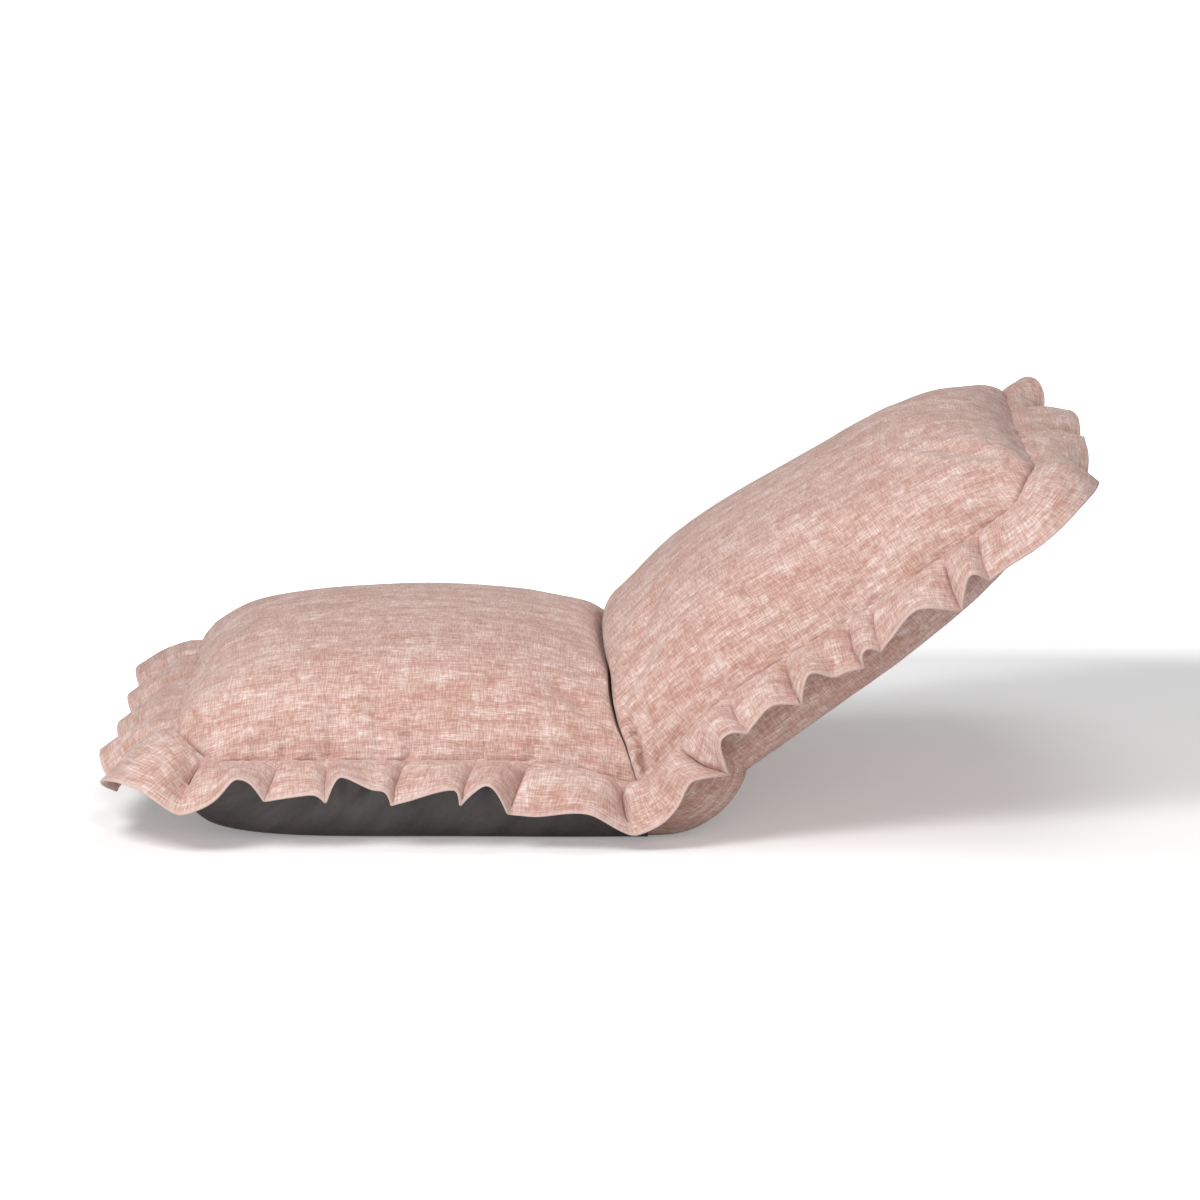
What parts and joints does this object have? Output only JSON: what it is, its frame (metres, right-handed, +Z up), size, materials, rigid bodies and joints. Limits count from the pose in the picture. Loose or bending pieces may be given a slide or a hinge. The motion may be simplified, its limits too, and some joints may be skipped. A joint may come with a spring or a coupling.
{
  "type": "floor chair",
  "caption": "Legless floor chair with a plump seat and a reclining plump back joined by ratchet hinges, edged all round by one gathered fabric frill.",
  "frame": {"origin": "on the floor, straight below the hinge axis, at mid-width", "axes": "+Z up, -X towards the front of the seat, +X towards the back, Y across; the sitter's left is -Y"},
  "size_m": [0.9821, 0.616, 0.3902],
  "materials": {
    "pink_cloth": "slubby woven chenille",
    "dark_cloth": "plain charcoal lining cloth",
    "foam": "open-cell foam",
    "felt": "needled felt",
    "fibre": "loose polyester fibre",
    "strap_elastic": "woven elastic",
    "frame_paint": "black powder coat",
    "hinge_steel": "zinc plated",
    "spring_steel": "blued spring steel",
    "rivet_steel": "zinc plated"
  },
  "bodies": {
    "seat": {"seat_frame_tube": "frame_paint", "seat_crossbar": "frame_paint", "seat_straps": "strap_elastic", "seat_base_foam": "foam", "seat_felt_pad": "felt", "seat_foam_pad": "foam", "seat_crease_fill": "fibre", "seat_top_cover": "pink_cloth", "seat_bottom_cover": "dark_cloth", "seat_frill": "pink_cloth", "hinge_gusset": "pink_cloth", "hinge_outer_cheek_left": "hinge_steel", "hinge_inner_cheek_left": "hinge_steel", "gear_spacers_left": "hinge_steel", "hinge_pin_left": "rivet_steel", "pawl_pin_left": "rivet_steel", "pawl_spring_left": "spring_steel", "spring_pin_left": "rivet_steel", "seat_tube_rivets_left": "rivet_steel", "hinge_outer_cheek_right": "hinge_steel", "hinge_inner_cheek_right": "hinge_steel", "gear_spacers_right": "hinge_steel", "hinge_pin_right": "rivet_steel", "pawl_pin_right": "rivet_steel", "pawl_spring_right": "spring_steel", "spring_pin_right": "rivet_steel", "seat_tube_rivets_right": "rivet_steel"},
    "back": {"back_frame_tube": "frame_paint", "back_crossbar": "frame_paint", "back_straps": "strap_elastic", "back_rear_foam": "foam", "back_felt_pad": "felt", "back_foam_pad": "foam", "back_crease_fill": "fibre", "back_front_cover": "pink_cloth", "back_rear_cover": "pink_cloth", "back_frill": "pink_cloth", "gear_arm_left": "hinge_steel", "back_tube_rivets_left": "rivet_steel", "gear_arm_right": "hinge_steel", "back_tube_rivets_right": "rivet_steel"},
    "pawl_left": {"pawl_left": "hinge_steel"},
    "pawl_right": {"pawl_right": "hinge_steel"}
  },
  "joints": [
    {"name": "recline", "type": "hinge", "parent": "seat", "child": "back", "pos_m": [0, 0, 0.06], "axis": [0, -1, 0], "range_deg": [-36, 79.2], "deforming": ["seat_top_cover", "back_front_cover", "seat_crease_fill", "back_crease_fill", "seat_frill", "back_frill", "hinge_gusset"]},
    {"name": "pawl_left_swing", "type": "hinge", "parent": "seat", "child": "pawl_left", "pos_m": [-0.03352, -0.205, 0.05395], "axis": [0, -1, 0], "range_deg": [0, 8], "deforming": ["pawl_spring_left"]},
    {"name": "pawl_right_swing", "type": "hinge", "parent": "seat", "child": "pawl_right", "pos_m": [-0.03352, 0.205, 0.05395], "axis": [0, -1, 0], "range_deg": [0, 8], "deforming": ["pawl_spring_right"]}
  ]
}
